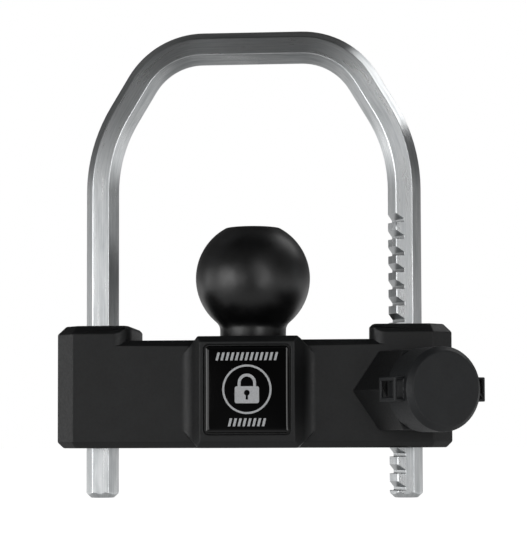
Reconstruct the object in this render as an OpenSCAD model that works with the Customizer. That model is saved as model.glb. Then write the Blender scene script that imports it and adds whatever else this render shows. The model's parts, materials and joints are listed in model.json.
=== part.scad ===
// Trailer coupler lock: a dummy coupler ball on a cast body, and a notched
// hexagonal shackle that closes over the coupler and is held by a keyed pawl.
// Millimetres, +Z up, origin at the centre of the ball, +Y towards the back.

/* [Ball] */
// Diameter of the ball, to suit a 1-7/8 in coupler socket
ball_d = 47.6; // [40:0.1:50.8]
// Height of the flat on the ball above its centre
ball_flat_z = 21.2; // [19:0.1:22]
// Diameter of the ball's neck
neck_d = 27.4; // [24:0.1:30]
// Radius between the ball and its neck
neck_fillet = 4.5; // [3:0.5:5]

/* [Body] */
// Reach of the body to the left of the ball
body_left = 79.6; // [78:0.1:84]
// Reach of the body to the right of the ball
body_right = 82; // [78:0.1:84]
// Depth of the body from front to back
body_depth = 44; // [42:1:50]
// Level of the top of the body
body_top = -26.5; // [-27:0.1:-26]
// Level of the underside of the body
body_bottom = -70.4; // [-74:0.1:-70]
// Chamfer on the upright corners of the body
corner_chamfer = 7.4; // [5:0.1:9]
// Chamfer along the top and bottom edges of the body
edge_chamfer = 2.4; // [1:0.1:3]
// Level of the top of the two raised leg bosses
boss_top = -20.3; // [-22:0.1:-18]
// Distance from the ball to the inner side of each boss
boss_inner = 48.6; // [46:0.1:50]
// Radius on the inner corners of the bosses
boss_round = 7; // [4:0.5:9]
// Chamfer along the front, the back and the outer end of the bosses
boss_chamfer = 3.4; // [2:0.1:4]
// Chamfer round the inner end of the bosses
boss_inner_chamfer = 1.4; // [0.5:0.1:2]

/* [Badge block] */
// Half width of the front of the badge block
block_half = 19.1; // [18.5:0.1:20]
// How far the block stands out of the front of the body
block_stand = 8; // [6:0.5:10]
// Level of the top of the block
block_top = -25.3; // [-26:0.1:-25]
// Radius where the block's sides run into the body
block_fillet = 6; // [4:0.5:6]
// Width of the badge
badge_w = 34.8; // [30:0.1:35]
// Height of the badge
badge_h = 35.8; // [32:0.1:38]
// Level of the centre of the badge
badge_z = -46.9; // [-48:0.1:-46]

/* [Shackle] */
// Width of the hexagonal bar across its flats
bar_af = 12; // [11.8:0.1:12.2]
// Distance between the centres of the legs
leg_spacing = 126.4; // [125:0.1:128]
// Level of the foot of the legs
leg_foot = -91; // [-94:0.5:-88]
// Level of the centre of the top bar
top_bar_z = 96.9; // [90:0.1:110]
// Level at which a leg's line meets its sloping line
shoulder_z = 54.4; // [52:0.1:60]
// Lean of the sloping parts from upright
slope = 31; // [25:1:35]
// Centre line radius of the lower bends
lower_bend = 63.5; // [35:0.5:65]
// Centre line radius of the upper bends
upper_bend = 30; // [18:0.5:32]

/* [Ratchet] */
// Distance from notch to notch
pitch = 6.9; // [6.9:0.1:7]
// Number of notches in the right leg
notches = 17; // [14:1:17]
// Level of the lowest notch's flat
first_notch = -88; // [-89:0.1:-88]
// Depth of a notch below the bar's flat
notch_depth = 2.9; // [2.6:0.1:3]
// Length of a notch's floor along the leg
notch_floor = 1.4; // [1.2:0.1:1.6]
// Length of a notch's slanted end along the leg
notch_slant = 2.3; // [2:0.1:2.6]

/* [Lock] */
// Level of the lock's axis
lock_z = -47.6; // [-48:0.1:-47.2]
// Distance from the right leg's axis to the lock's axis
lock_offset = 11; // [11:0.1:11.5]
// Radius over the corners of the hexagonal lock housing
housing_r = 18.3; // [17:0.1:19]
// Length from the right leg's axis to the front of the housing
housing_end = 33.5; // [32:0.1:35]
// Diameter of the dust cap
cap_d = 33.4; // [33:0.1:34]
// Length of the dust cap
cap_len = 17; // [16:0.5:18]
// Throw of the eccentric pin that moves the pawl
throw = 2.2; // [2.1:0.05:2.3]

/* [Hidden] */
$fn = 72;

half_depth = body_depth / 2;
leg_x = leg_spacing / 2;
bar_r = bar_af / 2 / cos(30);
bar_lap = 0.5;
big = 70;
bush_r = 8.3;
bush_gap = 0.15;

// Levels of the pawl and its channel, which hold three notches
first_held = 5;
pawl_bottom = first_notch + first_held * pitch - 4.7;
pawl_top = pawl_bottom + 22.6;
pawl_gap = 0.2;
pawl_half = 5;
pawl_front = 6.3;
pawl_back = 17;
channel_end = 27;
pin_r = 1.5;
// The eccentric pin works 45 degrees to each side of upright
pin_swing = throw * sin(45);
pawl_travel = 2 * pin_swing;
slot_gap = 0.2;

// Stations along the lock's axis, measured from the right leg's axis
barrel_start = 12.5;
barrel_r = 10;
barrel_bore = 10.05;
head_r = 13.4;
head_end = 43.5;
plug_r = 6.5;
plug_bore = 6.55;
plug_start = 10.9;
plug_head_r = 8;
plug_head = 1.6;
clip_start = 11.3;
clip_t = 0.8;
cam_start = 6.9;
cam_end = 10.4;
cam_r = 4.6;
tail_r = 2.6;
tail_depth = 2.3;
wafer_count = 5;
wafer_start = 18;
wafer_step = 4;
wafer_t = 1.5;
wafer_w = 6.8;
wafer_h = 11.2;
keyway_w = 2;
keyway_h = 7;
ring_station = 30;
ring_section = 0.77;
barrel_pin_station = 14.5;
barrel_pin_tip = 7.6;
cap_gap = 0.3;
cap_wall = 1.8;
cap_bevel = 2;
cap_start = housing_end + cap_gap;
ear_reach = 20.4;
ear_wall = 1.2;
ear_half = 4.8;
ear_len = 12.7;

cover_t = 3;
cover_from = 9.3;
cover_to = 28;
cover_back = -15;
cover_front = 5.7;
screw_x = [14, 23.5];
screw_y = -10.5;

bolt_r = 5.97;
bolt_hole = 6.4;
bolt_top = -9;
bore_depth = 13;
washer_t = 2;
head_h = 8;
dowel_x = 9.6;
dowel_r = 2;

function arc(centre, r, from, to, steps) =
    [for (i = [0:steps]) let (t = from + (to - from) * i / steps) centre + r * [cos(t), sin(t)]];

// Moves its children to the right leg: X then points to the lock's axis, Y out along it
module at_lock() translate([leg_x, 0, 0]) rotate([0, 0, 210]) children();

// Lays its children, made along Z from 0, along the lock's axis from a station
module on_axis(station) at_lock() translate([lock_offset, station, lock_z]) rotate([-90, 0, 0]) children();

// Everything above a 45 degree plane through the edge p-q of an outline whose top is at z
module edge_plane(p, q, z, size, before = big, after = big)
    translate([p.x, p.y, z - size]) rotate([0, 0, atan2(q.y - p.y, q.x - p.x)]) rotate([45, 0, 0])
        translate([-before, -big, 0]) cube([norm(q - p) + before + after, 2 * big, big]);

// A convex outline, drawn anticlockwise, stood up between two levels and chamfered round the top
module chamfered(points, bottom, top, size)
    difference() {
        translate([0, 0, bottom]) linear_extrude(top - bottom) polygon(points);
        for (i = [0:len(points) - 1])
            edge_plane(points[i], points[(i + 1) % len(points)], top, is_list(size) ? size[i] : size);
    }

module slot(r, run, length)
    union() {
        for (s = [-1, 1]) translate([0, s * run / 2, 0]) cylinder(r = r, h = length);
        translate([-r, -run / 2, 0]) cube([2 * r, run, length]);
    }

// Outline of one boss, on the +X side, in plan
function boss_outline(reach) = concat(
    [[reach - corner_chamfer, -half_depth], [reach, corner_chamfer - half_depth],
     [reach, half_depth - corner_chamfer], [reach - corner_chamfer, half_depth]],
    arc([boss_inner + boss_round, half_depth - boss_round], boss_round, 90, 180, 4),
    arc([boss_inner + boss_round, boss_round - half_depth], boss_round, 180, 270, 4));

// Chamfer of each side of a boss: the nine sides after the first four go round its inner end
boss_chamfers = [for (i = [0:13]) i > 3 && i < 13 ? boss_inner_chamfer : boss_chamfer];

function body_outline() =
    [[corner_chamfer - body_left, -half_depth], [body_right - corner_chamfer, -half_depth],
     [body_right, corner_chamfer - half_depth], [body_right, half_depth - corner_chamfer],
     [body_right - corner_chamfer, half_depth], [corner_chamfer - body_left, half_depth],
     [-body_left, half_depth - corner_chamfer], [-body_left, corner_chamfer - half_depth]];

// Right half of the badge block's side, from its front corner to the body's face
block_side_angle = 147;
block_tangent = [block_fillet * (cos(block_side_angle)), block_fillet * (sin(block_side_angle) - 1)];
block_run = block_stand + block_tangent.y;
block_fillet_x = block_half + block_run / tan(block_side_angle - 90) - block_tangent.x;
function block_side() = concat(
    [[block_half, -half_depth - block_stand]],
    arc([block_fillet_x, -half_depth - block_fillet], block_fillet, block_side_angle, 90, 6));

// The badge block, which runs back under the ball as a low pad
module block_solid() {
    side = block_side();
    other = [for (i = [len(side) - 1:-1:0]) [-side[i].x, side[i].y]];
    front = -half_depth - block_stand;
    pad = side[1].x;
    difference() {
        translate([0, 0, body_bottom]) linear_extrude(block_top - body_bottom)
            polygon(concat(side, [[block_fillet_x, half_depth], [-block_fillet_x, half_depth]], other));
        for (flip = [0, 1]) translate([0, 0, flip * (body_bottom + block_top)]) mirror([0, 0, flip]) {
            edge_plane([-pad, front], [pad, front], block_top, edge_chamfer);
            edge_plane([pad, front], [pad, half_depth], block_top, edge_chamfer);
            edge_plane([pad, half_depth], [-pad, half_depth], block_top, edge_chamfer);
            edge_plane([-pad, half_depth], [-pad, front], block_top, edge_chamfer);
        }
    }
}

module badge_outline(w, h, r)
    union() {
        square([w - 2 * r, h], center = true);
        square([w, h - 2 * r], center = true);
        for (x = [-1, 1], y = [-1, 1]) translate([x * (w / 2 - r), y * (h / 2 - r)]) circle(r);
    }

// A slab of the badge's outline, standing in front of the block, between two depths behind its face
module badge_slab(w, h, r, back, front)
    translate([0, -half_depth - block_stand + back, badge_z]) rotate([90, 0, 0])
        linear_extrude(back - front) badge_outline(w, h, r);

module lock_housing() on_axis(8) cylinder(r = housing_r, h = housing_end - 8, $fn = 6);

module channel_cut() {
    low = pawl_bottom - pawl_gap;
    wide = 2 * (pawl_half + pawl_gap);
    at_lock() {
        translate([0, -wide / 2, low]) cube([channel_end, wide, pawl_top + pawl_gap - low]);
        translate([cover_from, -wide / 2, body_bottom - 1]) cube([channel_end - cover_from, wide, big / 4]);
        translate([cover_from, cover_back, body_bottom - 1])
            cube([cover_to - cover_from, cover_front - cover_back, cover_t + 1]);
        for (x = screw_x) translate([x, screw_y, body_bottom]) cylinder(r = 1.7, h = 14);
    }
}

module body_casting() color("#26272a")
    difference() {
        union() {
            difference() {
                chamfered(body_outline(), body_bottom, body_top, edge_chamfer);
                translate([0, 0, body_bottom + body_top]) mirror([0, 0, 1])
                    for (i = [0:7])
                        edge_plane(body_outline()[i], body_outline()[(i + 1) % 8], body_top, edge_chamfer);
            }
            chamfered(boss_outline(body_right), body_top - 8, boss_top, boss_chamfers);
            mirror([1, 0, 0]) chamfered(boss_outline(body_left), body_top - 8, boss_top, boss_chamfers);
            block_solid();
            lock_housing();
        }
        for (s = [-1, 1]) translate([s * leg_x, 0, body_bottom - 1])
            cylinder(r = bush_r + 0.02, h = boss_top - body_bottom + 2);
        translate([0, 0, body_bottom - 1]) cylinder(r = bolt_hole, h = block_top - body_bottom + 5);
        translate([0, 0, body_bottom - 1]) cylinder(r = 10.4, h = bore_depth + 1);
        translate([dowel_x, 0, block_top - 8]) cylinder(r = dowel_r + 0.02, h = 12);
        badge_slab(badge_w + 0.4, badge_h + 0.4, 2.2, 1.6, -1);
        on_axis(barrel_start) cylinder(r = barrel_bore, h = housing_end);
        on_axis(clip_start - 0.9) cylinder(r = 7.6, h = 3);
        on_axis(pawl_half) cylinder(r = cam_r + 0.3, h = 8);
        channel_cut();
        at_lock() translate([lock_offset, barrel_pin_station, body_bottom - 1])
            cylinder(r = 1.52, h = lock_z - body_bottom);
    }

module hitch_ball() color("#101011") {
    r = ball_d / 2;
    neck = neck_d / 2;
    fillet_z = -sqrt(pow(r + neck_fillet, 2) - pow(neck + neck_fillet, 2));
    touch = [neck + neck_fillet, fillet_z] * r / (r + neck_fillet);
    difference() {
        union() {
            intersection() {
                sphere(r);
                translate([0, 0, ball_flat_z - ball_d]) cylinder(r = ball_d, h = ball_d);
            }
            translate([0, 0, block_top]) cylinder(r = neck, h = ball_flat_z);
            rotate_extrude() difference() {
                polygon([[0, -5], [r - 4, -5], touch, [neck + neck_fillet, fillet_z], [0, fillet_z]]);
                translate([neck + neck_fillet + 0.02, fillet_z]) circle(neck_fillet);
            }
        }
        translate([0, 0, block_top - 1]) cylinder(r = 6, h = bolt_top - block_top + 2);
        translate([dowel_x, 0, block_top - 1]) cylinder(r = dowel_r + 0.02, h = 7.5);
    }
}

module ball_bolt() color("#3c3d40") {
    seat = body_bottom + bore_depth - washer_t;
    difference() {
        union() {
            translate([0, 0, seat]) cylinder(r = bolt_r, h = bolt_top - seat);
            translate([0, 0, seat - head_h]) cylinder(r = 9, h = head_h);
        }
        translate([0, 0, seat - head_h - 1]) cylinder(r = 5.8, h = 6, $fn = 6);
    }
}

module ball_washer() color("#8d9094")
    translate([0, 0, body_bottom + bore_depth - washer_t]) difference() {
        cylinder(r = 10, h = washer_t);
        translate([0, 0, -1]) cylinder(r = bolt_hole, h = washer_t + 2);
    }

module ball_dowel() color("#8d9094")
    translate([dowel_x, 0, block_top - 7.8]) cylinder(r = dowel_r, h = 14);

module badge_plate() color("#0b0b0c") badge_slab(badge_w, badge_h, 2, 1.6, 0.7);

module badge_dome() color("#050506") badge_slab(badge_w - 0.8, badge_h - 0.8, 1.8, 0.7, -0.6);

// A straight length of bar, which runs half a millimetre into the bend at each end
module bar(length) translate([0, 0, -bar_lap]) cylinder(r = bar_r, h = length + 2 * bar_lap, $fn = 6);

module bend(radius, from, to)
    rotate([90, 0, 0]) rotate([0, 0, from]) rotate_extrude(angle = to - from)
        translate([radius, 0]) circle(r = bar_r - 0.012, $fn = 6);

// Half of the shackle, on the +X side, from the foot of the leg to the middle of the top bar
module half_shackle() {
    lower_start = shoulder_z - lower_bend * tan(slope / 2);
    lower_centre = [leg_x - lower_bend, lower_start];
    slope_start = lower_centre + lower_bend * [cos(slope), sin(slope)];
    top_corner = leg_x - (top_bar_z - shoulder_z) * tan(slope);
    slope_len = (top_bar_z - shoulder_z) / cos(slope)
        - lower_bend * tan(slope / 2) - upper_bend * tan((90 - slope) / 2);
    upper_centre = slope_start + slope_len * [-sin(slope), cos(slope)] - upper_bend * [cos(slope), sin(slope)];
    translate([leg_x, 0, leg_foot + bar_lap]) bar(lower_start - leg_foot - bar_lap);
    translate([lower_centre.x, 0, lower_centre.y]) bend(lower_bend, 0, slope);
    translate([slope_start.x, 0, slope_start.y]) rotate([0, -slope, 0]) bar(slope_len);
    translate([upper_centre.x, 0, upper_centre.y]) bend(upper_bend, slope, 90);
    translate([0, 0, top_bar_z]) rotate([0, 90, 0]) bar(top_corner - upper_bend * tan((90 - slope) / 2));
}

// One notch as seen along the lock's axis: a flat below, a floor, and a slant that lets the leg go down
module notch(flat_z) {
    floor_x = bar_af / 2 - notch_depth;
    out = 1;
    rise = notch_slant / notch_depth;
    translate([0, big / 2, 0]) rotate([90, 0, 0]) linear_extrude(big)
        polygon([[floor_x, flat_z], [bar_af / 2 + out, flat_z],
                 [bar_af / 2 + out, flat_z + notch_floor + notch_slant + out * rise],
                 [floor_x, flat_z + notch_floor]]);
}

module shackle() color("#b9bcbf")
    difference() {
        union() {
            half_shackle();
            mirror([1, 0, 0]) half_shackle();
        }
        at_lock() for (k = [0:notches - 1]) notch(first_notch + k * pitch);
        for (s = [-1, 1]) translate([s * leg_x, 0, leg_foot]) difference() {
            translate([0, 0, -1]) cylinder(r = 10, h = 3);
            translate([0, 0, -1.5]) cylinder(r1 = bar_r - 3.4, r2 = bar_r + 0.6, h = 4);
        }
    }

// A plain sleeve with a hexagonal hole, pressed into a bore of the body
module bush() {
    length = boss_top - body_bottom - 1.6;
    translate([0, 0, body_bottom + 0.8]) difference() {
        cylinder(r = bush_r, h = length);
        translate([0, 0, -1]) cylinder(r = (bar_af / 2 + bush_gap) / cos(30), h = length + 2, $fn = 6);
    }
}

module leg_bush_left() color("#17181a") translate([-leg_x, 0, 0]) bush();

module leg_bush_right() color("#17181a")
    difference() {
        translate([leg_x, 0, 0]) bush();
        at_lock() translate([0, -pawl_half - 0.3, pawl_bottom - 0.3])
            cube([bush_r + 1, 2 * pawl_half + 0.6, pawl_top - pawl_bottom + 0.6]);
    }

module lock_barrel() color("#a9abae")
    difference() {
        union() {
            on_axis(barrel_start) cylinder(r = barrel_r, h = housing_end - barrel_start);
            on_axis(housing_end) cylinder(r = head_r, h = head_end - housing_end - 1);
            on_axis(head_end - 1) cylinder(r1 = head_r, r2 = head_r - 1, h = 1);
        }
        on_axis(barrel_start - 1) cylinder(r = plug_bore, h = head_end);
        on_axis(head_end - plug_head - 0.1) cylinder(r = plug_head_r + 0.05, h = 5);
        on_axis(ring_station - 0.85) difference() {
            cylinder(r = barrel_r + 1, h = 1.7);
            translate([0, 0, -1]) cylinder(r = barrel_r - 1.5, h = 4);
        }
        at_lock() translate([lock_offset, barrel_pin_station, lock_z - barrel_r - 1])
            cylinder(r = 1.52, h = barrel_r + 1.2 - barrel_pin_tip);
    }

module wafer_block(t, w, h)
    for (k = [0:wafer_count - 1]) on_axis(wafer_start + k * wafer_step - t / 2)
        translate([-w / 2, -h / 2, 0]) cube([w, h, t]);

module lock_plug() color("#c9a94f")
    difference() {
        union() {
            on_axis(plug_start) cylinder(r = plug_r, h = head_end - plug_head - plug_start);
            on_axis(head_end - plug_head) cylinder(r = plug_head_r, h = plug_head - 0.2);
            intersection() {
                on_axis(plug_start - tail_depth) cylinder(r = tail_r, h = tail_depth);
                on_axis(plug_start - tail_depth) translate([-tail_r, -tail_r, 0])
                    cube([2 * tail_r, 1.7 * tail_r, tail_depth]);
            }
        }
        wafer_block(wafer_t + 0.1, wafer_w + 0.1, wafer_h + 0.1);
        on_axis(wafer_start - 2) translate([-keyway_w / 2, -keyway_h / 2, 0]) cube([keyway_w, keyway_h, 40]);
        on_axis(clip_start) difference() {
            cylinder(r = plug_r + 1, h = clip_t);
            translate([0, 0, -1]) cylinder(r = plug_r - 0.9, h = 3);
        }
    }

module lock_wafers() color("#d6b65c")
    difference() {
        wafer_block(wafer_t, wafer_w, wafer_h);
        on_axis(wafer_start - 2) translate([-1.6, -4, 0]) cube([3.2, 8, 40]);
    }

module plug_clip() color("#8d9094")
    on_axis(clip_start + 0.05) difference() {
        cylinder(r = plug_r + 0.8, h = clip_t - 0.1);
        translate([0, 0, -1]) cylinder(r = plug_r - 0.85, h = 3);
        translate([-2, 0, -1]) cube([4, 20, 3]);
    }

module cam_driver() color("#8d9094") {
    difference() {
        on_axis(cam_start) cylinder(r = cam_r, h = cam_end - cam_start);
        intersection() {
            on_axis(plug_start - tail_depth - 0.2) cylinder(r = tail_r + 0.03, h = tail_depth + 1);
            on_axis(plug_start - tail_depth - 0.2) translate([-tail_r - 1, -tail_r - 1, 0])
                cube([2 * tail_r + 2, 1.7 * tail_r + 1.03, tail_depth + 1]);
        }
    }
    at_lock() translate([lock_offset + pin_swing, -1.5, lock_z + pin_swing]) rotate([-90, 0, 0])
        cylinder(r = pin_r, h = cam_start + 1.5);
}

// The pawl at rest is drawn back from the leg by its whole travel
module pawl() color("#7f8286") {
    floor_x = bar_af / 2 - notch_depth;
    reach = floor_x + 0.3;
    rise = notch_slant / notch_depth;
    at_lock() translate([pawl_travel, 0, 0]) difference() {
        union() {
            translate([pawl_front, -pawl_half, pawl_bottom])
                cube([pawl_back - pawl_front, 2 * pawl_half, pawl_top - pawl_bottom]);
            for (k = [0:2]) {
                flat_z = first_notch + (first_held + k) * pitch;
                slant_z = flat_z + notch_floor - 0.35;
                translate([0, pawl_half, 0]) rotate([90, 0, 0]) linear_extrude(2 * pawl_half)
                    polygon([[reach, flat_z + 0.15], [pawl_front + 1, flat_z + 0.15],
                             [pawl_front + 1, min(pawl_top, slant_z + (pawl_front + 1 - floor_x) * rise)],
                             [reach, slant_z + (reach - floor_x) * rise]]);
            }
        }
        translate([lock_offset - pin_swing, pawl_half + 1, lock_z + (pin_swing + throw) / 2]) rotate([90, 0, 0])
            slot(pin_r + slot_gap, throw - pin_swing + 0.4, pawl_half + 3.5);
        translate([pawl_back - 3, 0, lock_z]) rotate([0, 90, 0]) cylinder(r = 4, h = 10);
    }
}

// Closed helix of round wire along +Z, with its ends at 0 and at length
module coil(r, wire, length, turns) {
    sides = 6;
    steps = 14;
    count = turns * steps;
    ring = [for (i = [0:count], j = [0:sides - 1])
        let (t = 360 * i / steps, s = 360 * j / sides, rho = r + wire * cos(s))
        [rho * cos(t), rho * sin(t), wire + (length - 2 * wire) * i / count + wire * sin(s)]];
    faces = concat(
        [[for (j = [0:sides - 1]) j]],
        [for (i = [0:count - 1], j = [0:sides - 1]) let (a = i * sides + j, b = i * sides + (j + 1) % sides)
            [a, a + sides, b + sides, b]],
        [[for (j = [sides - 1:-1:0]) count * sides + j]]);
    polyhedron(ring, faces);
}

module pawl_spring() color("#a9abae")
    at_lock() translate([pawl_back - 3 + pawl_travel + 0.1, 0, lock_z]) rotate([0, 90, 0])
        coil(3.1, 0.4, channel_end - pawl_back + 3 - pawl_travel - 0.2, 6);

module pawl_cover() color("#26272a")
    at_lock() difference() {
        union() {
            translate([cover_from + 0.15, cover_back + 0.15, body_bottom])
                cube([cover_to - cover_from - 0.3, cover_front - cover_back - 0.3, cover_t - 0.1]);
            translate([cover_from + 0.15, -pawl_half, body_bottom])
                cube([channel_end - cover_from - 0.3, 2 * pawl_half, pawl_bottom - pawl_gap - body_bottom - 0.05]);
        }
        for (x = screw_x) translate([x, screw_y, body_bottom]) {
            translate([0, 0, -1]) cylinder(r = 2.1, h = cover_t + 2);
            translate([0, 0, -1]) cylinder(r = 3.4, h = 2.6);
        }
    }

module pawl_cover_screws() color("#8d9094")
    at_lock() for (x = screw_x) translate([x, screw_y, body_bottom]) difference() {
        union() {
            translate([0, 0, 0.1]) cylinder(r = 3.2, h = 1.5);
            translate([0, 0, 1]) cylinder(r = 1.68, h = 11);
        }
        cylinder(r = 1.2, h = 1.1, $fn = 6);
    }

module barrel_pin() color("#8d9094")
    at_lock() translate([lock_offset, barrel_pin_station, body_bottom + 0.4])
        cylinder(r = 1.5, h = lock_z - barrel_pin_tip - body_bottom - 0.4);

module barrel_o_ring() color("#0c0c0d")
    on_axis(ring_station) rotate_extrude() translate([barrel_r - 1.5 + ring_section, 0]) circle(ring_section);

module dust_cap() color("#202225") {
    r = cap_d / 2;
    inner = r - cap_wall;
    difference() {
        union() {
            on_axis(cap_start) cylinder(r = r, h = cap_len - cap_bevel);
            on_axis(cap_start + cap_len - cap_bevel) cylinder(r1 = r, r2 = r - cap_bevel, h = cap_bevel);
            on_axis(cap_start) translate([-ear_reach, -ear_half, 0]) cube([2 * ear_reach, 2 * ear_half, ear_len]);
        }
        on_axis(cap_start - 1) cylinder(r = inner, h = cap_len - 1.6);
        for (s = [0, 1]) on_axis(cap_start) mirror([s, 0, 0]) {
            translate([r, ear_wall - ear_half, -1])
                cube([ear_reach - ear_wall - r, 2 * (ear_half - ear_wall), ear_len + 2]);
            translate([r + 1, 1.6 - ear_half, 1.8]) cube([ear_reach, 2 * (ear_half - 1.6), ear_len - 3.6]);
        }
    }
}

// A soft ring inside the end of the cap, which grips the head of the barrel
module cap_seal() color("#0c0c0d")
    on_axis(head_end + 0.5) difference() {
        cylinder(r = cap_d / 2 - cap_wall, h = 2);
        translate([0, 0, -1]) cylinder(r = cap_d / 2 - cap_wall - 3, h = 4);
    }

body_casting();
hitch_ball();
ball_bolt();
ball_washer();
ball_dowel();
badge_plate();
badge_dome();
shackle();
leg_bush_left();
leg_bush_right();
lock_barrel();
lock_plug();
lock_wafers();
plug_clip();
cam_driver();
pawl();
pawl_spring();
pawl_cover();
pawl_cover_screws();
barrel_pin();
barrel_o_ring();
dust_cap();
cap_seal();
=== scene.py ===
"""Looks of a trailer coupler lock: a dummy ball on a coated casting, a notched
hexagonal shackle and a keyed lock under a rubber cap. Lengths are in millimetres
until a piece is placed, and in metres after that."""

import json
from math import atan2, cos, pi, radians, sin, sqrt, tan

import bmesh
import bpy
from bpy.props import FloatProperty, FloatVectorProperty, IntProperty, PointerProperty
from bpy.types import Operator, Panel, PropertyGroup
from mathutils import Matrix, Vector


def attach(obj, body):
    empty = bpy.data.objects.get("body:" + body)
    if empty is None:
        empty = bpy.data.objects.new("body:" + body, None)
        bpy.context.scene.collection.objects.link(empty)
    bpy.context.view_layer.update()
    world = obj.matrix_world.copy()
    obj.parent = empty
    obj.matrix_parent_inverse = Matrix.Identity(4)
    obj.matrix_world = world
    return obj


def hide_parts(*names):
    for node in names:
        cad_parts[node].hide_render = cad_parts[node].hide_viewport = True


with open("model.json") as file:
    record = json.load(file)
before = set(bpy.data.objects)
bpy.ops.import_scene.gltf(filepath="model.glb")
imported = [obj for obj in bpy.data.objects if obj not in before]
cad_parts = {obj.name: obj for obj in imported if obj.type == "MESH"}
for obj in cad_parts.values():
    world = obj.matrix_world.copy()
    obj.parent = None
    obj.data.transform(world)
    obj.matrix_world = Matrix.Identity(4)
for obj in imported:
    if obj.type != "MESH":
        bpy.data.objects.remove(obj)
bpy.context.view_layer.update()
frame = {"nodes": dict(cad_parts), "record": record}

bl_info = {
    "name": "Coupler lock",
    "version": (1, 0, 0),
    "blender": (4, 5, 0),
    "location": "3D View > Sidebar > Coupler lock",
    "description": "Builds the detailed looks of a trailer coupler lock round its packed frame",
    "category": "Object",
}

MM = 0.001
BODY_OF = {node: body for body, nodes in frame["record"]["behaviour"]["bodies"].items()
           for node in nodes}

# Lengths that the pieces made here share with the frame, from the centre of the ball
LEG_X = 63.2
BLOCK_TOP = -25.3
BADGE_Z = -46.9
# Turned as the notches are: X looks from the right leg towards the lock's side
AT_NOTCHES = Matrix.Translation((LEG_X, 0, 0)) @ Matrix.Rotation(radians(210), 4, "Z")

# Angles that decide how a corner is made or shaded
NEARLY_STRAIGHT = radians(179)
HOLLOW_CORNER = radians(-20)
SAME_FLAT = radians(0.6)


def linear(hex_colour):
    """Turns an sRGB hex colour into the linear RGBA that a socket takes."""
    parts = [int(hex_colour[i:i + 2], 16) / 255 for i in (1, 3, 5)]
    return tuple(c / 12.92 if c <= 0.04045 else ((c + 0.055) / 1.055) ** 2.4 for c in parts) + (1.0,)


def length(name, description, default, low, high):
    """A length property in metres, given in millimetres."""
    return FloatProperty(name=name, description=description, default=default * MM, min=low * MM,
                         max=high * MM, subtype="DISTANCE", unit="LENGTH", precision=4)


def colour(name, description, hex_colour):
    return FloatVectorProperty(name=name, description=description, default=linear(hex_colour)[:3],
                               min=0, max=1, size=3, subtype="COLOR")


class CastingSettings(PropertyGroup):
    edge: length("Edge radius", "Radius that the coating leaves on the casting's edges", 0.45, 0.1, 0.8)
    coat: colour("Coat colour", "Colour of the powder coat", "#131415")
    grain: length("Coat grain", "Size of the powder coat's grain", 0.9, 0.3, 3)


class BallSettings(PropertyGroup):
    crown: length("Top edge radius", "Radius between the ball and the flat on top of it", 3, 1, 6)
    enamel: colour("Enamel colour", "Colour of the ball's enamel", "#0a0a0b")


class BadgeSettings(PropertyGroup):
    resin: colour("Resin colour", "Colour seen through the badge's resin", "#040405")
    ink: colour("Ink colour", "Colour of the printed device", "#d4d6d8")


class ShackleSettings(PropertyGroup):
    corner: length("Corner radius", "Radius along the bar's six corners", 0.75, 0.3, 1.5)
    zinc: colour("Zinc colour", "Lightest colour of the zinc plating", "#eceeef")
    dull: colour("Dull zinc colour", "Darkest colour of the zinc plating", "#bcc0c2")
    notches: IntProperty(name="Notches", description="Notches in the right leg", default=17,
                         min=1, max=17)


class LockSettings(PropertyGroup):
    rubber: colour("Rubber colour", "Colour of the dust cap", "#1f2123")
    brass: colour("Brass colour", "Colour of the key plug", "#b08a3c")
    edge: length("Edge radius", "Radius on the edges of the cap and the small metal pieces",
                 0.3, 0.05, 0.5)


class StageSettings(PropertyGroup):
    floor_level: length("Floor level", "Level of the floor, clear of the shackle when it is down",
                        -147, -400, -146.5)
    paper: colour("Floor colour", "Colour of the paper floor", "#fafafa")


# ---------------------------------------------------------------- shapes

def fillet(points, radii, steps=4, closed=True):
    """Rounds the corners of a flat outline; radii is one number, or one for each point."""
    count = len(points)
    radii = radii if hasattr(radii, "__len__") else [radii] * count
    out = []
    for i, (point, radius) in enumerate(zip(map(Vector, points), radii)):
        before = (Vector(points[i - 1]) - point).normalized()
        after = (Vector(points[(i + 1) % count]) - point).normalized()
        turn = before.angle(after)
        if radius <= 0 or turn > NEARLY_STRAIGHT or (not closed and i in (0, count - 1)):
            out.append(point)
            continue
        centre = point + (before + after).normalized() * radius / sin(turn / 2)
        reach = radius / tan(turn / 2)
        start, end = (point + side * reach - centre for side in (before, after))
        first = atan2(start.y, start.x)
        sweep = (atan2(end.y, end.x) - first + pi) % (2 * pi) - pi
        angles = [first + sweep * k / steps for k in range(steps + 1)]
        out += [centre + radius * Vector((cos(a), sin(a))) for a in angles]
    return out


def arc(centre, radius, start, end, steps):
    """Points of an arc, with its angles in degrees."""
    angles = [radians(start + (end - start) * k / steps) for k in range(steps + 1)]
    return [Vector((centre[0] + radius * cos(a), centre[1] + radius * sin(a))) for a in angles]


def loft(rings, mesh=None):
    """Joins rings of points with the same count into a closed skin, with a face over each end."""
    mesh = mesh or bmesh.new()
    rows = [[mesh.verts.new(p) for p in ring] for ring in rings]
    for low, high in zip(rows, rows[1:]):
        for i in range(len(low)):
            mesh.faces.new((low[i - 1], low[i], high[i], high[i - 1]))
    mesh.faces.new(rows[0][::-1])
    mesh.faces.new(rows[-1])
    return mesh


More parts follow.
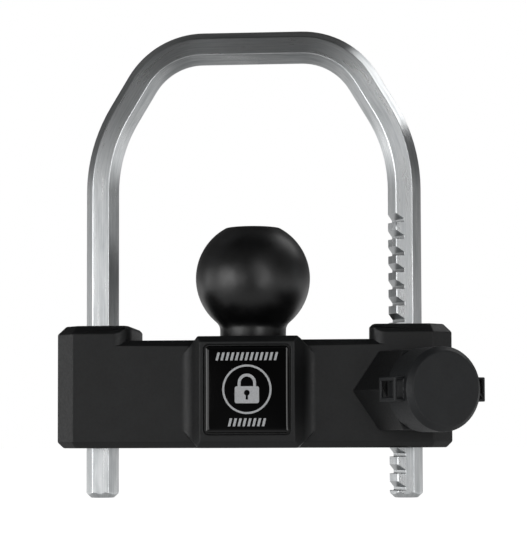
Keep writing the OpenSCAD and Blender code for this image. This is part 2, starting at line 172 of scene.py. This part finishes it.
def lathe(profile, steps=128):
    """Turns a profile of (radius, height) points, which starts and ends on the axis, about Z."""
    mesh = bmesh.new()
    rows = []
    for radius, height in profile:
        if radius < 1e-6:
            rows.append([mesh.verts.new((0, 0, height))] * steps)
        else:
            angles = [2 * pi * i / steps for i in range(steps)]
            rows.append([mesh.verts.new((radius * cos(a), radius * sin(a), height)) for a in angles])
    for low, high in zip(rows, rows[1:]):
        for i in range(steps):
            mesh.faces.new(dict.fromkeys((low[i - 1], low[i], high[i], high[i - 1])))
    return mesh


def ease(mesh, radius, sharpest=24, segments=3):
    """Rounds every outward edge that turns by more than an angle, as coating and tumbling do."""
    edges = [e for e in mesh.edges if e.is_manifold and e.calc_face_angle_signed() > radians(sharpest)]
    bmesh.ops.bevel(mesh, geom=edges, offset=radius, offset_type="OFFSET", segments=segments,
                    profile=0.5, affect="EDGES", clamp_overlap=False, loop_slide=True,
                    miter_outer="SHARP")


def place(name, mesh, body, nodes, material, scale=MM, smooth=40):
    """Makes a piece of a mesh, sets its shading, and ties it to the frame."""
    bmesh.ops.transform(mesh, matrix=Matrix.Scale(scale, 4), verts=mesh.verts)
    bmesh.ops.recalc_face_normals(mesh, faces=mesh.faces)
    for edge in mesh.edges:
        turn = edge.calc_face_angle_signed(0)
        edge.smooth = HOLLOW_CORNER < turn < radians(smooth)
    data = bpy.data.meshes.new(name)
    mesh.to_mesh(data)
    mesh.free()
    piece = bpy.data.objects.new(name, data)
    bpy.context.scene.collection.objects.link(piece)
    data.polygons.foreach_set("use_smooth", [True] * len(data.polygons))
    even = piece.modifiers.new("even shading", "WEIGHTED_NORMAL")
    even.keep_sharp = True
    data.materials.append(material)
    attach(piece, body)
    if nodes:
        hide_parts(*nodes)
    return piece


def eased(node, radius, material, segments=3):
    """Stands for a CAD node: the same shape with its flat faces joined up and its edges rounded."""
    source = frame["nodes"][node]
    mesh = bmesh.new()
    mesh.from_mesh(source.data)
    bmesh.ops.remove_doubles(mesh, verts=mesh.verts, dist=0.002 * MM)
    bmesh.ops.dissolve_limit(mesh, angle_limit=SAME_FLAT, use_dissolve_boundaries=False,
                             verts=mesh.verts, edges=mesh.edges)
    ease(mesh, radius, segments=segments)
    return place(node + "_eased", mesh, BODY_OF[node], [node], material, scale=1)


def finish_node(node, material):
    """Gives a CAD node that stays as it is a finer material."""
    piece = frame["nodes"][node]
    piece.data.materials.clear()
    piece.data.materials.append(material)


# ---------------------------------------------------------------- materials

def add(tree, kind, values=None, links=None, **settings):
    """Adds a node with its settings, its socket values and what its sockets are linked to."""
    node = tree.nodes.new(kind)
    for key, value in settings.items():
        setattr(node, key, value)
    for key, value in (values or {}).items():
        node.inputs[key].default_value = value
    for key, socket in (links or {}).items():
        tree.links.new(socket, node.inputs[key])
    return node


def surface(name, base, roughness, metallic=0.0, **more):
    """Starts a material from one Principled shader; more gives other sockets, with _ for a space."""
    made = bpy.data.materials.new(name)
    made.use_nodes = True
    shader = made.node_tree.nodes["Principled BSDF"]
    shader.inputs["Base Color"].default_value = tuple(base)[:3] + (1.0,)
    shader.inputs["Roughness"].default_value = roughness
    shader.inputs["Metallic"].default_value = metallic
    for key, value in more.items():
        shader.inputs[key.replace("_", " ")].default_value = value
    return made, made.node_tree, shader


def shade(base, factor):
    """A colour made lighter or darker by a factor."""
    return tuple(min(1.0, c * factor) for c in tuple(base)[:3]) + (1.0,)


def noise(tree, vector, size, detail=2.0, rough=0.5):
    """Noise whose lumps are about size millimetres across."""
    return add(tree, "ShaderNodeTexNoise", {"Scale": 1 / size, "Detail": detail, "Roughness": rough},
               {"Vector": vector}).outputs["Fac"]


def in_mm(tree, stretch=(1, 1, 1), uv=None):
    """Object or bar coordinates in millimetres, each divided by a stretch."""
    if uv:
        source, unit = add(tree, "ShaderNodeUVMap", uv_map=uv).outputs["UV"], 1.0
    else:
        source, unit = add(tree, "ShaderNodeTexCoord").outputs["Object"], 1 / MM
    return add(tree, "ShaderNodeMapping", {"Scale": tuple(unit / s for s in stretch)},
               {"Vector": source}).outputs["Vector"]


def blend(tree, factor, low, high, start=0.3, end=0.7):
    """Two colours, mixed by a factor between two of its values."""
    node = add(tree, "ShaderNodeValToRGB", links={"Fac": factor})
    for element, place_, tint in zip(node.color_ramp.elements, (start, end), (low, high)):
        element.position, element.color = place_, tuple(tint)[:3] + (1.0,)
    return node.outputs["Color"]


def spread(tree, factor, low, high):
    """A factor moved from 0.3..0.7 to a range of values."""
    ends = {"From Min": 0.3, "From Max": 0.7, "To Min": low, "To Max": high}
    return add(tree, "ShaderNodeMapRange", ends, {"Value": factor}).outputs["Result"]


def bump(tree, shader, height, depth, strength=1.0):
    """Raises the surface by up to depth millimetres where height is 1."""
    node = add(tree, "ShaderNodeBump", {"Strength": strength, "Distance": depth * MM},
               {"Height": height})
    tree.links.new(node.outputs["Normal"], shader.inputs["Normal"])


def powder_coat(base, grain):
    """Powder-coated zinc casting: sprayed and baked, with an even, dull sheen over a fine grain."""
    made, tree, shader = surface("powder_coated_zinc_casting", base, 0.5)
    place_ = in_mm(tree)
    # The real grain is near 0.2 mm; it is drawn as coarse as a grain that shows
    fine = noise(tree, place_, grain / MM, 4, 0.6)
    broad = noise(tree, place_, 9, 3)
    tree.links.new(blend(tree, broad, shade(base, 0.85), shade(base, 1.35)),
                   shader.inputs["Base Color"])
    tree.links.new(spread(tree, fine, 0.42, 0.58), shader.inputs["Roughness"])
    bump(tree, shader, fine, 0.05, 0.55)
    return made


def enamel(base):
    """Baked enamel on a steel ball: smooth and dark, with the rubbed patches that handling leaves."""
    made, tree, shader = surface("baked_enamel_on_steel", base, 0.3, IOR=1.62)
    place_ = in_mm(tree)
    rubbed = noise(tree, place_, 11, 5, 0.6)
    tree.links.new(blend(tree, rubbed, base, shade(base, 2.2), 0.45, 0.75), shader.inputs["Base Color"])
    tree.links.new(spread(tree, rubbed, 0.32, 0.46), shader.inputs["Roughness"])
    bump(tree, shader, noise(tree, place_, 1.6, 2), 0.012, 0.5)
    return made


def drawn_zinc(light, dull):
    """Cold-drawn steel bar, zinc plated: a cool satin metal with fine lines along the bar."""
    made, tree, shader = surface("zinc_plated_drawn_steel", light, 0.3, 1.0, Anisotropic=0.75)
    # The lines run along the bar, so light spreads round it
    around = add(tree, "ShaderNodeTangent", direction_type="UV_MAP", uv_map="bar").outputs["Tangent"]
    tree.links.new(around, shader.inputs["Tangent"])
    lines = noise(tree, in_mm(tree, (0.5, 45, 1), "bar"), 1, 4, 0.6)
    clouds = noise(tree, in_mm(tree, (3.5, 24, 1), "bar"), 1, 3, 0.6)
    both = add(tree, "ShaderNodeMix", {0: 0.45}, {2: clouds, 3: lines}, data_type="FLOAT").outputs[0]
    tree.links.new(blend(tree, both, dull, light, 0.35, 0.62), shader.inputs["Base Color"])
    tree.links.new(spread(tree, both, 0.36, 0.24), shader.inputs["Roughness"])
    bump(tree, shader, lines, 0.02, 0.35)
    return made


def resin(base):
    """Polyurethane doming resin over a black print: poured, so it is smooth and deeply glossy."""
    made, tree, shader = surface("polyurethane_doming_resin", base, 0.07)
    bump(tree, shader, noise(tree, in_mm(tree), 8, 1), 0.03, 0.4)
    return made


def ink(base):
    """Silver screen print seen through clear resin: an even grey with a faint fleck under a gloss."""
    made, tree, shader = surface("silver_screen_print", base, 0.4, Coat_Weight=0.6, Coat_Roughness=0.05)
    fleck = noise(tree, in_mm(tree), 0.5, 2)
    tree.links.new(blend(tree, fleck, shade(base, 0.8), base), shader.inputs["Base Color"])
    return made


def moulded(name, base, roughness, grain, depth):
    """Moulded rubber or plastic: an even colour with the fine skin that the mould's steel leaves."""
    made, tree, shader = surface(name, base, roughness)
    place_ = in_mm(tree)
    fine = noise(tree, place_, grain, 3)
    tree.links.new(blend(tree, noise(tree, place_, 7, 2), shade(base, 0.88), shade(base, 1.18)),
                   shader.inputs["Base Color"])
    tree.links.new(spread(tree, fine, roughness - 0.05, roughness + 0.06), shader.inputs["Roughness"])
    bump(tree, shader, fine, depth, 0.5)
    return made


def worked_metal(name, base, roughness, stretch, depth=0.01, space=None):
    """Turned, ground or drawn metal: fine tool lines, stretched the way that the tool ran."""
    made, tree, shader = surface(name, base, roughness, 1.0)
    lines = noise(tree, in_mm(tree, stretch), 1, 4, 0.6)
    tree.links.new(blend(tree, lines, shade(base, 0.8), base), shader.inputs["Base Color"])
    tree.links.new(spread(tree, lines, roughness - 0.06, roughness + 0.08), shader.inputs["Roughness"])
    bump(tree, shader, lines, depth, 0.4)
    return made


# ---------------------------------------------------------------- pieces

class CouplerPiece:
    """What every operator of this add-on has in common."""
    bl_options = {"REGISTER", "UNDO"}


class COUPLER_OT_casting(CouplerPiece, Operator):
    """Builds the coated casting, the cover under it and the sleeves that guide the legs"""
    bl_idname = "coupler.casting"
    bl_label = "Casting"

    def execute(self, context):
        settings = context.scene.coupler_casting
        coat = powder_coat(settings.coat, settings.grain)
        eased("body_casting", settings.edge, coat)
        eased("pawl_cover", settings.edge * 0.6, coat)
        # Acetal sleeves, injection moulded, with a low sheen
        acetal = moulded("moulded_acetal", linear("#141516"), 0.42, 0.7, 0.01)
        for side in ("left", "right"):
            eased(f"leg_bush_{side}", settings.edge * 0.6, acetal)
        return {"FINISHED"}


def ball_profile(crown):
    """Half outline of the ball: its blind bolt hole, its neck, and up to the middle of its flat."""
    radius, neck, neck_fillet, flat = 23.8, 13.7, 4.5, 21.2
    bore, bore_top, seat_edge = 6.0, -7.0, 0.4
    low = -sqrt((radius + neck_fillet) ** 2 - (neck + neck_fillet) ** 2)
    meet = atan2(-low, -(neck + neck_fillet))
    out = [Vector((0, bore_top)), Vector((bore, bore_top)), Vector((bore, BLOCK_TOP)),
           Vector((neck - seat_edge, BLOCK_TOP)), Vector((neck, BLOCK_TOP + seat_edge))]
    out += arc((neck + neck_fillet, low), neck_fillet - 0.02, 180, meet * 180 / pi, 8)
    start = -atan2(-low, neck + neck_fillet)
    rise = flat - crown
    across = sqrt((radius - crown) ** 2 - rise ** 2)
    end = atan2(rise, across)
    out += arc((0, 0), radius, start * 180 / pi, end * 180 / pi, 40)[1:]
    out += arc((across, rise), crown, end * 180 / pi, 90, 8)[1:]
    # The flat is very slightly crowned, so its middle is its highest point
    out = [Vector((p.x, p.y - 0.25)) if p.y > flat - 0.3 else p for p in out]
    return out + [Vector((across * 0.5, flat - 0.07)), Vector((0, flat))]


class COUPLER_OT_ball(CouplerPiece, Operator):
    """Builds the enamelled ball and finishes the bolt, washer and dowel that hold it"""
    bl_idname = "coupler.ball"
    bl_label = "Ball"

    def execute(self, context):
        settings = context.scene.coupler_ball
        place("ball_turned", lathe(ball_profile(settings.crown / MM)), "body", ["hitch_ball"],
              enamel(settings.enamel), smooth=50)
        # Black oxide on a socket screw: blued by a hot salt bath, dark with a soft metal sheen
        oxide = worked_metal("black_oxide_steel", linear("#3a3b3e"), 0.42, (0.4, 0.4, 6))
        eased("ball_bolt", 0.3 * MM, oxide)
        # Bright zinc on turned steel
        bright = worked_metal("bright_zinc_on_steel", linear("#b9bcc0"), 0.3, (3, 3, 0.25))
        finish_node("ball_washer", bright)
        finish_node("ball_dowel", bright)
        return {"FINISHED"}


# The badge: half its width and height, the level of its rim, and its resin's edge and depths
BADGE_HALF = (17.0, 17.5)
BADGE_RIM = -29.3
RESIN_EDGE = 1.6
RESIN_DEPTH = 0.98
RESIN_CROWN = 0.3
BADGE_CORNER = 1.8
# Insets of the resin's rings, close together where its edge curves
RESIN_RINGS = (0, 0.06, 0.22, 0.5, 0.9, 1.3, 1.7, 2.6, 4, 6, 8.5, 11, 13.5, 15.5, 16.6)

# The sign, from the badge's centre: ring, padlock, keyhole and two rows of stripes
RING = (9.9, 9.1)
PADLOCK = ((-4.9, -5.6), (4.9, -5.6), (4.9, 1.2), (-4.9, 1.2))
PADLOCK_CORNER = 0.8
BOW = (3.7, 2.5)
BOW_LEVEL = 2.6
BOW_LEG = 0.6
BOW_FOOT = 1.0
KEYHOLE_LEVEL = -1.4
KEYHOLE_RADIUS = 1.15
KEYHOLE_SLOT = ((-0.5, -4.1), (0.5, -4.1), (0.35, -1.6), (-0.35, -1.6))
STRIPE = ((-0.9, -1.6), (0.1, -1.6), (0.9, 1.6), (-0.1, 1.6))
STRIPE_PITCH = 1.95
STRIPE_ROWS = ((13.2, 13), (-13.2, 8))
PRINT_LIFT = 0.05
HOLE_LIFT = 0.07
SUNK = -0.08


def resin_skin(x, z):
    """Depth of the badge's domed resin at a point measured from the badge's centre."""
    wide, high = BADGE_HALF
    inset = max(0.0, min(wide - abs(x), high - abs(z)))
    rim = sqrt(max(0.0, 1 - (1 - min(inset / RESIN_EDGE, 1)) ** 2))
    crown = RESIN_DEPTH + RESIN_CROWN * (1 - (x / wide) ** 2) * (1 - (z / high) ** 2)
    return BADGE_RIM - crown * rim


def rounded_box(wide, high, radius, steps=5):
    """A rounded rectangle round the origin, with points along its sides as well."""
    corners = [(wide, -high), (wide, high), (-wide, high), (-wide, -high)]
    out = []
    for i, corner in enumerate(corners):
        bend = fillet([corners[i - 1], corner, corners[(i + 1) % 4]], radius, steps, closed=False)[1:-1]
        after = Vector(corners[(i + 1) % 4]) - Vector(corner)
        run = after.length - 2 * radius
        out += bend + [bend[-1] + after.normalized() * run * k / 8 for k in range(1, 8)]
    return out


def stamp(mesh, outline, lift=PRINT_LIFT):
    """Adds a thin plate of an outline that lies on the badge's resin."""
    loft([[(p[0], resin_skin(*p) - height, p[1] + BADGE_Z) for p in outline]
          for height in (SUNK, lift)], mesh)


def band(mesh, centre, radii, end, steps):
    """Adds part of a flat ring that lies on the badge's resin, from its right to an angle."""
    outside, inside = (arc(centre, r, 0, end, steps) for r in radii)
    for k in range(steps):
        stamp(mesh, [inside[k], outside[k], outside[k + 1], inside[k + 1]])


class COUPLER_OT_badge(CouplerPiece, Operator):
    """Builds the domed badge with a plain padlock sign printed under its resin"""
    bl_idname = "coupler.badge"
    bl_label = "Badge"

    def execute(self, context):
        settings = context.scene.coupler_badge
        clear = resin(settings.resin)
        wide, high = BADGE_HALF
        rings = []
        for inset in RESIN_RINGS:
            corner = min(BADGE_CORNER, (wide - inset) * 0.9)
            outline = rounded_box(wide - inset, high - inset, corner)
            rings.append([(p.x, resin_skin(p.x, p.y), p.y + BADGE_Z) for p in outline])
        rings[0] = [(x, BADGE_RIM, z) for x, y, z in rings[0]]
        place("badge_resin", loft(rings), "body", ["badge_dome"], clear)
        # The printed plate under the resin is cut PVC sheet
        finish_node("badge_plate", moulded("printed_pvc_sheet", linear("#0c0c0d"), 0.35, 0.5, 0.005))

        print_ = bmesh.new()
        band(print_, (0, 0), RING, 360, 72)
        stamp(print_, fillet(PADLOCK, PADLOCK_CORNER))
        band(print_, (0, BOW_LEVEL), BOW, 180, 24)
        for side in (-sum(BOW) / 2, sum(BOW) / 2):
            stamp(print_, [(side - BOW_LEG, BOW_FOOT), (side + BOW_LEG, BOW_FOOT),
                           (side + BOW_LEG, BOW_LEVEL), (side - BOW_LEG, BOW_LEVEL)])
        for level, count in STRIPE_ROWS:
            for k in range(count):
                along = (k - (count - 1) / 2) * STRIPE_PITCH
                stamp(print_, [(along + x, level + z) for x, z in STRIPE])
        place("badge_sign", print_, "body", [], ink(settings.ink))

        hole = bmesh.new()
        stamp(hole, arc((0, KEYHOLE_LEVEL), KEYHOLE_RADIUS, 0, 345, 23), HOLE_LIFT)
        stamp(hole, KEYHOLE_SLOT, HOLE_LIFT)
        place("badge_keyhole", hole, "body", [], clear)
        return {"FINISHED"}


# The bar: half its width across flats, the level of its feet, and the cone that chamfers them
FLAT = 6.0
FOOT = -91.0
FOOT_RADIUS = 4.75
FOOT_TAPER = 1.05
# Its bends: levels of the top bar and the shoulders, lean of the slopes, and the bends' radii
TOP_BAR = 96.9
SHOULDER = 54.4
LEAN = 31.0
LOWER_BEND = 63.5
UPPER_BEND = 30.0
# The notches: level of the lowest, spacing, depth, height of the floor and rise of the slant
NOTCH_FIRST = -88.0
NOTCH_PITCH = 6.9
NOTCH_DEPTH = 2.9
NOTCH_FLOOR = 1.4
NOTCH_SLANT = 2.3
NOTCH_EDGE = 0.14


def bar_section(corner):
    """The rounded hexagon of the bar, with points along its flats as well."""
    out = []
    centre = (FLAT - corner) / cos(radians(30))
    for k in range(6):
        middle = Vector((centre * cos(radians(60 * k)), centre * sin(radians(60 * k))))
        bend = arc(middle, corner, 60 * k - 30, 60 * k + 30, 4)
        out += bend
        after = Vector((centre * cos(radians(60 * k + 60)), centre * sin(radians(60 * k + 60))))
        start = arc(after, corner, 60 * k + 30, 60 * k + 90, 4)[0]
        out += [bend[-1].lerp(start, j / 5) for j in range(1, 5)]
    return out


def half_path():
    """Stations from a leg's foot to the top bar's middle: x, z, and the angle that faces outwards."""
    lean = radians(LEAN)
    start = SHOULDER - LOWER_BEND * tan(lean / 2)
    out = [(LEG_X, FOOT + h, 0) for h in (0, 0.25, 0.6, 1.0, 1.4, 1.9, 2.4)]
    out += [(LEG_X, z, 0) for z in (-60, -20, 20)]
    out += [(p.x, p.y, LEAN * k / 10)
            for k, p in enumerate(arc((LEG_X - LOWER_BEND, start), LOWER_BEND, 0, LEAN, 10))]
    bends = LOWER_BEND * tan(lean / 2) + UPPER_BEND * tan(radians((90 - LEAN) / 2))
    run = (TOP_BAR - SHOULDER) / cos(lean) - bends
    along = Vector((-sin(lean), cos(lean)))
    across = Vector((cos(lean), sin(lean)))
    bend_start = Vector(out[-1][:2]) + along * run
    out.append((*(Vector(out[-1][:2]) + along * run / 2), LEAN))
    bend = arc(bend_start - across * UPPER_BEND, UPPER_BEND, LEAN, 90, 16)
    return out + [(p.x, p.y, LEAN + (90 - LEAN) * k / 16) for k, p in enumerate(bend)]


def bar_skin(corner):
    """The whole shackle without its notches, with a map of millimetres round and along the bar."""
    half = half_path()
    stations = [(x, z, angle, 1) for x, z, angle in half]
    stations += [(0.0, TOP_BAR, 90, 1)]
    stations += [(x, z, angle, -1) for x, z, angle in reversed(half)]
    section = bar_section(corner)
    rings, marks, travelled, last = [], [], 0.0, None
    for x, z, angle, side in stations:
        centre = Vector((side * x, 0, z))
        out = Vector((side * cos(radians(angle)), 0, sin(radians(angle))))
        # The feet are chamfered by a cone
        limit = FOOT_RADIUS + (z - FOOT) * FOOT_TAPER
        ring = []
        for p in section:
            p = p * min(1.0, limit / p.length)
            ring.append(centre + out * p.x + Vector((0, p.y, 0)))
        travelled += (centre - last).length if last else 0
        last = centre
        rings.append(ring)
        marks.append(travelled)
    mesh = loft(rings)
    count = len(section)
    around = [0.0]
    for i in range(count):
        around.append(around[-1] + (section[(i + 1) % count] - section[i]).length)
    mesh.verts.index_update()
    bar = mesh.loops.layers.uv.new("bar")
    for face in mesh.faces:
        rows = [loop.vert.index // count for loop in face.loops]
        spots = [loop.vert.index % count for loop in face.loops]
        wraps = {0, count - 1} <= set(spots) and len(face.verts) == 4
        for loop, row, spot in zip(face.loops, rows, spots):
            spot = count if wraps and spot == 0 else spot
            loop[bar].uv = (around[spot], marks[row])
    return mesh


def notch_cutter(count):
    """All the notches at once: a flat below, a floor, and a slant that lets the leg run down."""
    inside, outside = FLAT - NOTCH_DEPTH, FLAT + 1.6
    rise = (outside - inside) * NOTCH_SLANT / NOTCH_DEPTH
    mesh = bmesh.new()
    for k in range(count):
        flat = NOTCH_FIRST + k * NOTCH_PITCH
        outline = [(inside, flat), (outside, flat), (outside, flat + NOTCH_FLOOR + rise),
                   (inside, flat + NOTCH_FLOOR)]
        outline = fillet(outline, (0.3, 0, 0, 0.3), 3)
        loft([[(p.x, y, p.y) for p in outline] for y in (-9, 9)], mesh)
    bmesh.ops.transform(mesh, matrix=AT_NOTCHES, verts=mesh.verts)
    bmesh.ops.recalc_face_normals(mesh, faces=mesh.faces)
    return mesh


def carve(mesh, cutter):
    """Cuts one mesh out of another."""
    objects = []
    for name, source in (("carved", mesh), ("cutter", cutter)):
        bmesh.ops.recalc_face_normals(source, faces=source.faces)
        data = bpy.data.meshes.new(name)
        source.to_mesh(data)
        source.free()
        objects.append(bpy.data.objects.new(name, data))
        bpy.context.scene.collection.objects.link(objects[-1])
    cut = objects[0].modifiers.new("cut", "BOOLEAN")
    cut.operation, cut.solver, cut.object = "DIFFERENCE", "EXACT", objects[1]
    graph = bpy.context.evaluated_depsgraph_get()
    carved = bmesh.new()
    carved.from_mesh(objects[0].evaluated_get(graph).to_mesh())
    for made in objects:
        data = made.data
        bpy.data.objects.remove(made)
        bpy.data.meshes.remove(data)
    return carved


class COUPLER_OT_shackle(CouplerPiece, Operator):
    """Builds the bent hexagonal bar with its ratchet notches"""
    bl_idname = "coupler.shackle"
    bl_label = "Shackle"

    def execute(self, context):
        settings = context.scene.coupler_shackle
        mesh = carve(bar_skin(settings.corner / MM), notch_cutter(settings.notches))
        bmesh.ops.remove_doubles(mesh, verts=mesh.verts, dist=0.002)
        ease(mesh, NOTCH_EDGE, 34, 2)
        place("shackle_bar", mesh, "shackle", ["shackle"],
              drawn_zinc(settings.zinc, settings.dull))
        return {"FINISHED"}


class COUPLER_OT_lock(CouplerPiece, Operator):
    """Builds the keyed lock, its dust cap, and the pawl that it moves"""
    bl_idname = "coupler.lock"
    bl_label = "Lock and cap"

    def execute(self, context):
        settings = context.scene.coupler_lock
        edge = settings.edge
        # Die-cast zinc, tumbled: a soft grey metal
        zinc = worked_metal("tumbled_die_cast_zinc", linear("#9d9fa2"), 0.38, (1, 1, 1))
        eased("lock_barrel", edge, zinc)
        # Brass, turned on a lathe and then broached for the key
        brass = worked_metal("turned_brass", settings.brass, 0.28, (1.2, 1.2, 0.3))
        eased("lock_plug", edge * 0.5, brass, 2)
        # Brass strip, stamped: paler, with the roll's lines
        strip = worked_metal("stamped_brass_strip", linear("#c5a24e"), 0.34, (0.5, 5, 5))
        finish_node("lock_wafers", strip)
        # Hardened steel, ground on its working faces
        ground = worked_metal("ground_hardened_steel", linear("#8b8e92"), 0.3, (0.4, 4, 4))
        eased("pawl", edge * 0.6, ground, 2)
        finish_node("cam_driver", ground)
        # Stainless wire, strip and pins, bright from the die
        wire = worked_metal("stainless_wire", linear("#c4c6c9"), 0.24, (0.5, 3, 3))
        for node in ("plug_clip", "pawl_spring", "barrel_pin"):
            finish_node(node, wire)
        # Black zinc on turned screws: a dark metal with rings round its axis
        screw = worked_metal("black_zinc_screw", linear("#55585c"), 0.35, (2, 2, 0.4))
        finish_node("pawl_cover_screws", screw)
        # Nitrile rings, pressed in a polished mould
        ring = moulded("nitrile_rubber", linear("#0d0d0e"), 0.4, 0.8, 0.005)
        finish_node("barrel_o_ring", ring)
        finish_node("cap_seal", ring)
        # EPDM rubber, moulded: dull, with a skin that is nearly smooth
        eased("dust_cap", edge * 1.4, moulded("moulded_epdm_rubber", settings.rubber, 0.52, 0.9, 0.02))
        return {"FINISHED"}


# ---------------------------------------------------------------- stage

# How light the room is, from straight down (0), past level (0.5), to straight up (1)
ROOM = ((0.0, 0.38), (0.3, 0.5), (0.46, 0.9), (0.5, 0.5), (0.55, 0.25), (0.63, 0.1),
        (0.72, 0.08), (0.85, 0.1), (0.97, 0.01))
# Each panel: its name, direction from the ball, distance and size in metres, and brightness
PANELS = (
    ("front_left", (-1, -0.9, 0.0), 1.6, (1.0, 0.8), 2.7),
    ("front_strip", (-0.31, -1, -0.02), 1.6, (0.28, 0.6), 1.9),
    ("front_right", (0.5, -1, -0.05), 1.6, (0.55, 0.8), 2.8),
    ("front_high", (0.34, -1, 0.36), 1.6, (0.4, 0.35), 3.0),
    ("side_left", (-1, 0.05, 0.02), 1.6, (0.7, 0.6), 1.3),
    ("high_right", (0.64, 0.35, 0.66), 1.5, (0.7, 0.7), 2.2),
)
FLOOR_HALF = 12.0
FLOOR_GLOW = 1.0
CAMERA_AT = (66.5, -787.2, -65.7)
CAMERA_LENS = 124.3
CAMERA_SHIFT = 0.109


def soft_light(name, toward, distance, size, brightness):
    """A soft panel facing the ball, in metres; brightness is 1 for white paper in full light."""
    data = bpy.data.lights.new(name, "AREA")
    data.shape, data.size, data.size_y = "RECTANGLE", *size
    data.energy = brightness * pi * size[0] * size[1]
    lamp = bpy.data.objects.new(name, data)
    lamp.location = Vector(toward).normalized() * distance
    lamp.rotation_euler = (-lamp.location).to_track_quat("-Z", "Y").to_euler()
    bpy.context.scene.collection.objects.link(lamp)


def surroundings():
    """A dim room, lighter near the ground and dark in front; only the camera sees its white wall."""
    world = bpy.data.worlds.new("studio")
    bpy.context.scene.world = world
    world.use_nodes = True
    tree = world.node_tree
    toward = add(tree, "ShaderNodeSeparateXYZ",
                 links={"Vector": add(tree, "ShaderNodeTexCoord").outputs["Generated"]})
    height = add(tree, "ShaderNodeMapRange", {"From Min": -1.0, "From Max": 1.0},
                 {"Value": toward.outputs["Z"]})
    node = add(tree, "ShaderNodeValToRGB", links={"Fac": height.outputs["Result"]})
    while len(node.color_ramp.elements) < len(ROOM):
        node.color_ramp.elements.new(0.5)
    for element, (spot, level) in zip(node.color_ramp.elements, ROOM):
        element.position, element.color = spot, (level, level, level, 1)
    dark = add(tree, "ShaderNodeMapRange",
               {"From Min": -1.0, "From Max": -0.8, "To Min": 0.1, "To Max": 1.0},
               {"Value": toward.outputs["Y"]})
    room = tree.nodes["Background"]
    tree.links.new(node.outputs["Color"], room.inputs["Color"])
    tree.links.new(dark.outputs["Result"], room.inputs["Strength"])
    wall = add(tree, "ShaderNodeBackground", {"Color": (1, 1, 1, 1)})
    seen = add(tree, "ShaderNodeLightPath").outputs["Is Camera Ray"]
    mixed = add(tree, "ShaderNodeMixShader", links={0: seen, 1: room.outputs[0], 2: wall.outputs[0]})
    tree.links.new(mixed.outputs[0], tree.nodes["World Output"].inputs["Surface"])


def table_top(base, glow):
    """White acrylic shooting table, sanded matt and lit from below: evenly white, with no shine."""
    made, tree, shader = surface("matt_acrylic_table", base, 0.9, Emission_Strength=glow,
                                 Emission_Color=tuple(base)[:3] + (1.0,))
    fibre = noise(tree, in_mm(tree), 2.5, 3)
    tree.links.new(blend(tree, fibre, shade(base, 0.985), base), shader.inputs["Base Color"])
    return made


def add_camera():
    """The camera: a long lens, a little to the right of the ball and level with the body."""
    yaw, pitch, roll = 0.0788, 0.0533, -0.0033
    ahead = Vector((-sin(yaw) * cos(pitch), cos(yaw) * cos(pitch), sin(pitch)))
    level = ahead.cross(Vector((0, 0, 1))).normalized()
    upright = level.cross(ahead)
    right = cos(roll) * level + sin(roll) * upright
    up = cos(roll) * upright - sin(roll) * level
    data = bpy.data.cameras.new("view")
    data.lens, data.sensor_width, data.shift_y = CAMERA_LENS, 36, CAMERA_SHIFT
    data.clip_start, data.clip_end = 0.01, 50
    camera = bpy.data.objects.new("view", data)
    camera.matrix_world = Matrix.LocRotScale(
        Vector(CAMERA_AT) * MM, Matrix((right, up, -ahead)).transposed(), None)
    bpy.context.scene.collection.objects.link(camera)
    bpy.context.scene.camera = camera


class COUPLER_OT_stage(CouplerPiece, Operator):
    """Sets out the floor, the lights, the surroundings and the camera"""
    bl_idname = "coupler.stage"
    bl_label = "Stage"

    def execute(self, context):
        settings = context.scene.coupler_stage
        mesh = bmesh.new()
        corners = ((-1, -1), (1, -1), (1, 1), (-1, 1))
        mesh.faces.new([mesh.verts.new((x * FLOOR_HALF, y * FLOOR_HALF, settings.floor_level))
                        for x, y in corners])
        data = bpy.data.meshes.new("floor")
        mesh.to_mesh(data)
        mesh.free()
        data.materials.append(table_top(settings.paper, FLOOR_GLOW))
        floor = bpy.data.objects.new("floor", data)
        context.scene.collection.objects.link(floor)
        # Only the camera sees the table, so it sends no light up to the pieces
        floor.visible_glossy = floor.visible_diffuse = False
        for panel in PANELS:
            soft_light(*panel)
        surroundings()
        add_camera()
        context.scene.view_settings.view_transform = "Standard"
        return {"FINISHED"}


OPERATORS = (COUPLER_OT_casting, COUPLER_OT_ball, COUPLER_OT_badge, COUPLER_OT_shackle,
             COUPLER_OT_lock, COUPLER_OT_stage)
SETTINGS = {
    "coupler_casting": CastingSettings, "coupler_ball": BallSettings, "coupler_badge": BadgeSettings,
    "coupler_shackle": ShackleSettings, "coupler_lock": LockSettings, "coupler_stage": StageSettings,
}


class COUPLER_PT_panel(Panel):
    """Lists the settings and the operators in the 3D view's sidebar"""
    bl_idname = "COUPLER_PT_panel"
    bl_label = "Coupler lock"
    bl_space_type = "VIEW_3D"
    bl_region_type = "UI"
    bl_category = "Coupler lock"

    def draw(self, context):
        for (name, group), operator in zip(SETTINGS.items(), OPERATORS):
            box = self.layout.box()
            for setting in group.__annotations__:
                box.prop(getattr(context.scene, name), setting)
            box.operator(operator.bl_idname)


def register():
    for group in (*SETTINGS.values(), *OPERATORS, COUPLER_PT_panel):
        bpy.utils.register_class(group)
    for name, group in SETTINGS.items():
        setattr(bpy.types.Scene, name, PointerProperty(type=group))


def unregister():
    for name in SETTINGS:
        delattr(bpy.types.Scene, name)
    for group in reversed((*SETTINGS.values(), *OPERATORS, COUPLER_PT_panel)):
        bpy.utils.unregister_class(group)


def main():
    register()
    for operator in OPERATORS:
        group, name = operator.bl_idname.split(".")
        getattr(getattr(bpy.ops, group), name)()


if __name__ == "__main__":
    main()
